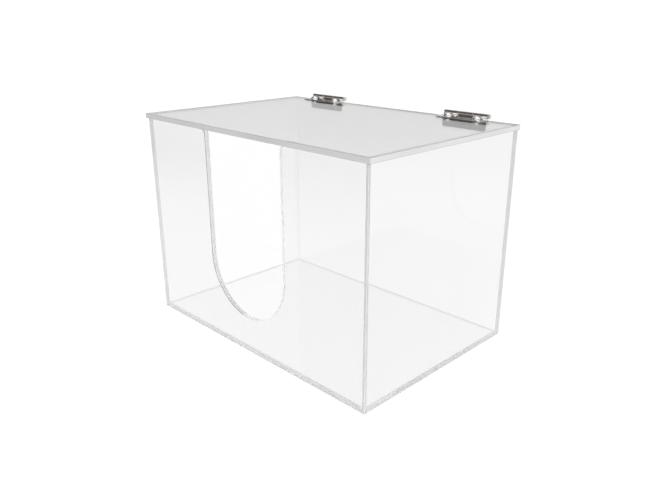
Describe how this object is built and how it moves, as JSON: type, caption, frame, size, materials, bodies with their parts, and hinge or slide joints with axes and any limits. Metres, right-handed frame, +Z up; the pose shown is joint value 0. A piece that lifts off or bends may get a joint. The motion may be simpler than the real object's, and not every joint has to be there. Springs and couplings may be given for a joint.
{
  "type": "hinged-lid dispenser box",
  "caption": "Clear acrylic dispenser box with a U-shaped access cut-out in the front wall and a flat lid on butt hinges.",
  "frame": {"origin": "middle of the underside of the base, on the surface that the box stands on", "axes": "+X to the right and -Y to the front, seen facing the wall with the U cut-out; the hinges are at +Y; +Z up"},
  "size_m": [0.31, 0.2134, 0.2218],
  "materials": {
    "acrylic": "clear polished cast acrylic sheet, flame-polished edges",
    "hinge_metal": "bright nickel-chrome plated rolled steel",
    "pin_metal": "bright plated steel pin with a domed head",
    "screw_metal": "bright plated steel, round head, cross recess"
  },
  "bodies": {
    "box": {"base_panel": "acrylic", "front_panel": "acrylic", "back_panel": "acrylic", "left_panel": "acrylic", "right_panel": "acrylic", "left_hinge_body_leaf": "hinge_metal", "left_hinge_pin": "pin_metal", "left_hinge_body_screws": "screw_metal", "right_hinge_body_leaf": "hinge_metal", "right_hinge_pin": "pin_metal", "right_hinge_body_screws": "screw_metal"},
    "lid": {"lid_panel": "acrylic", "left_hinge_lid_leaf": "hinge_metal", "left_hinge_lid_screws": "screw_metal", "right_hinge_lid_leaf": "hinge_metal", "right_hinge_lid_screws": "screw_metal"}
  },
  "joints": [
    {"name": "lid_hinge", "type": "hinge", "parent": "box", "child": "lid", "pos_m": [0, 0.10585, 0.219], "axis": [-1, 0, 0], "range_deg": [0, 250]}
  ]
}
